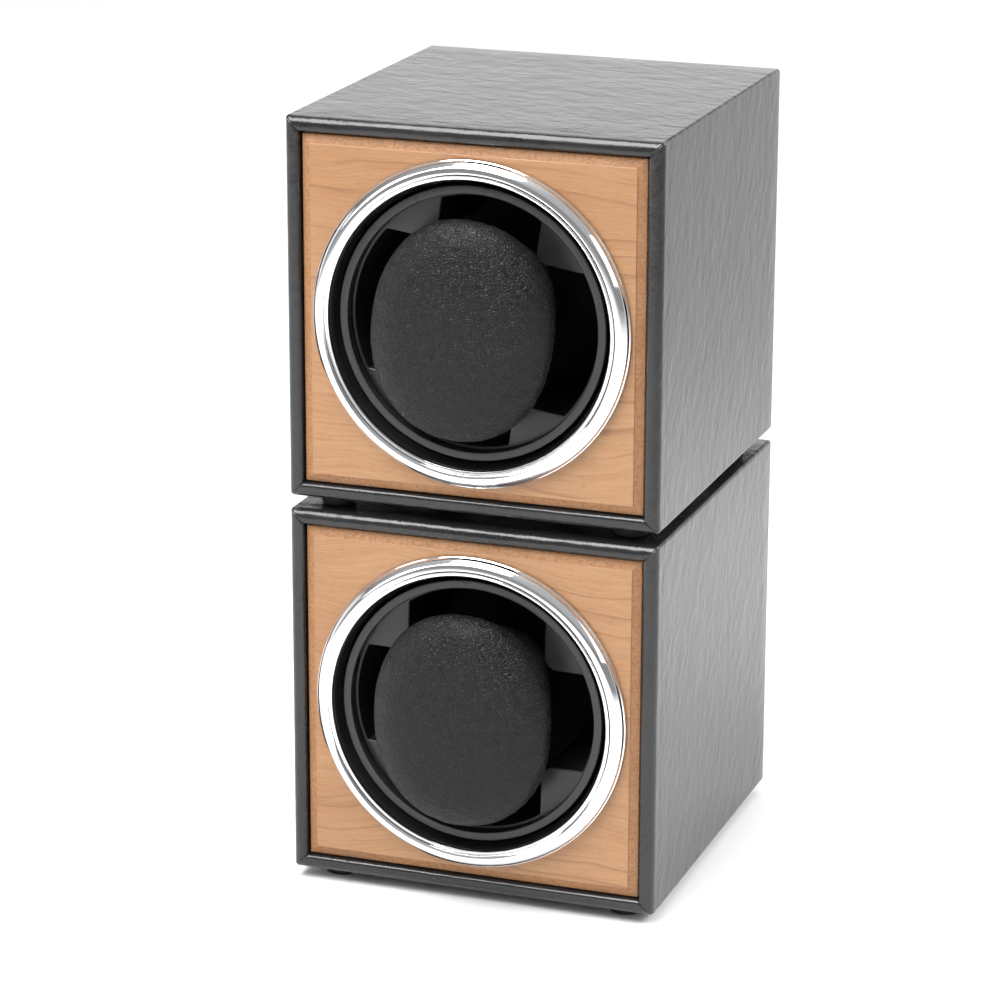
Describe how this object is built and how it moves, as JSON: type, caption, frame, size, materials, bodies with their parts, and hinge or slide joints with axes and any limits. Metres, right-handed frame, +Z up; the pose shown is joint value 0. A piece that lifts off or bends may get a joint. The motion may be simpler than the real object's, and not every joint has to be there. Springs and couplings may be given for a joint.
{
  "type": "watch winder box",
  "caption": "Stacked pair of single-watch winder boxes in black leatherette, each with a wood front, a chrome ring and a belt-driven drum that turns a removable pillow.",
  "frame": {"origin": "centre of the whole object's footprint, on the surface that the lower feet stand on", "axes": "+Z up, fronts towards -Y, +X to the right as seen from the front"},
  "size_m": [0.118, 0.1484, 0.2433],
  "materials": {
    "black_leatherette": "embossed long-grain leatherette, satin",
    "carcass_board": "bare fibreboard",
    "cherry_wood": "light cherry, horizontal grain, satin lacquer",
    "chrome": "polished plating",
    "gloss_black_plastic": "piano black",
    "black_moulding": "matt black moulding",
    "steel": "ground steel",
    "motor_steel": "plated can",
    "belt_rubber": "matt",
    "circuit_board": "green solder mask",
    "grey_plastic": "matt",
    "back_board": "black-faced board",
    "foot_rubber": "matt",
    "screw_steel": "blackened steel",
    "rim_grey_plastic": "satin dark grey",
    "insert_grey_plastic": "fine satin dark grey",
    "white_plastic": "natural nylon",
    "brass": "turned",
    "pillow_leatherette": "fine pebbled leatherette, matt",
    "knob_plastic": "matt"
  },
  "bodies": {
    "lower_case": {"lower_leatherette_cover": "black_leatherette", "lower_carcass": "carcass_board", "lower_wood_front_panel": "cherry_wood", "lower_chrome_ring": "chrome", "lower_inner_bezel": "gloss_black_plastic", "lower_chassis_plate": "black_moulding", "lower_shaft_bearing": "steel", "lower_gear_motor": "motor_steel", "lower_drive_belt": "belt_rubber", "lower_circuit_board": "circuit_board", "lower_dc_inlet": "black_moulding", "lower_mode_switch": "grey_plastic", "lower_back_panel": "back_board", "lower_back_screw_1": "screw_steel", "lower_back_screw_2": "screw_steel", "lower_back_screw_3": "screw_steel", "lower_back_screw_4": "screw_steel", "lower_foot_1": "foot_rubber", "lower_foot_2": "foot_rubber", "lower_foot_3": "foot_rubber", "lower_foot_4": "foot_rubber"},
    "lower_drum": {"lower_drum_cup": "black_moulding", "lower_drum_rim": "rim_grey_plastic", "lower_drum_insert": "insert_grey_plastic", "lower_drum_shaft": "steel", "lower_drum_pulley": "white_plastic"},
    "lower_motor_pulley": {"lower_motor_pulley": "brass"},
    "lower_pillow": {"lower_pillow": "pillow_leatherette"},
    "lower_mode_knob": {"lower_mode_knob": "knob_plastic"},
    "upper_case": {"upper_leatherette_cover": "black_leatherette", "upper_carcass": "carcass_board", "upper_wood_front_panel": "cherry_wood", "upper_chrome_ring": "chrome", "upper_inner_bezel": "gloss_black_plastic", "upper_chassis_plate": "black_moulding", "upper_shaft_bearing": "steel", "upper_gear_motor": "motor_steel", "upper_drive_belt": "belt_rubber", "upper_circuit_board": "circuit_board", "upper_dc_inlet": "black_moulding", "upper_mode_switch": "grey_plastic", "upper_back_panel": "back_board", "upper_back_screw_1": "screw_steel", "upper_back_screw_2": "screw_steel", "upper_back_screw_3": "screw_steel", "upper_back_screw_4": "screw_steel", "upper_foot_1": "foot_rubber", "upper_foot_2": "foot_rubber", "upper_foot_3": "foot_rubber", "upper_foot_4": "foot_rubber"},
    "upper_drum": {"upper_drum_cup": "black_moulding", "upper_drum_rim": "rim_grey_plastic", "upper_drum_insert": "insert_grey_plastic", "upper_drum_shaft": "steel", "upper_drum_pulley": "white_plastic"},
    "upper_motor_pulley": {"upper_motor_pulley": "brass"},
    "upper_pillow": {"upper_pillow": "pillow_leatherette"},
    "upper_mode_knob": {"upper_mode_knob": "knob_plastic"}
  },
  "joints": [
    {"name": "lower_drum_spin", "type": "hinge", "parent": "lower_case", "child": "lower_drum", "pos_m": [0, -0.05725, 0.0625], "axis": [0, -1, 0], "continuous": true},
    {"name": "lower_motor_spin", "type": "hinge", "parent": "lower_case", "child": "lower_motor_pulley", "pos_m": [-0.041, 0.00775, 0.0215], "axis": [0, -1, 0], "continuous": true},
    {"name": "lower_pillow_pull", "type": "slide", "parent": "lower_drum", "child": "lower_pillow", "axis": [0, -1, 0], "range_m": [0, 0.06]},
    {"name": "lower_mode_turn", "type": "hinge", "parent": "lower_case", "child": "lower_mode_knob", "pos_m": [-0.024, 0.06725, 0.0385], "axis": [0, -1, 0], "range_deg": [0, 270]},
    {"name": "upper_drum_spin", "type": "hinge", "parent": "upper_case", "child": "upper_drum", "pos_m": [0, -0.05725, 0.1843], "axis": [0, -1, 0], "continuous": true},
    {"name": "upper_motor_spin", "type": "hinge", "parent": "upper_case", "child": "upper_motor_pulley", "pos_m": [-0.041, 0.00775, 0.1433], "axis": [0, -1, 0], "continuous": true},
    {"name": "upper_pillow_pull", "type": "slide", "parent": "upper_drum", "child": "upper_pillow", "axis": [0, -1, 0], "range_m": [0, 0.06]},
    {"name": "upper_mode_turn", "type": "hinge", "parent": "upper_case", "child": "upper_mode_knob", "pos_m": [-0.024, 0.06725, 0.1603], "axis": [0, -1, 0], "range_deg": [0, 270]},
    {"name": "upper_module_lift", "type": "slide", "parent": "lower_case", "child": "upper_case", "axis": [0, 0, 1], "range_m": [0, 0.06]}
  ],
  "couplings": [
    {"joint": "lower_motor_spin", "follows": "lower_drum_spin", "ratio": 4},
    {"joint": "upper_motor_spin", "follows": "upper_drum_spin", "ratio": 4}
  ]
}
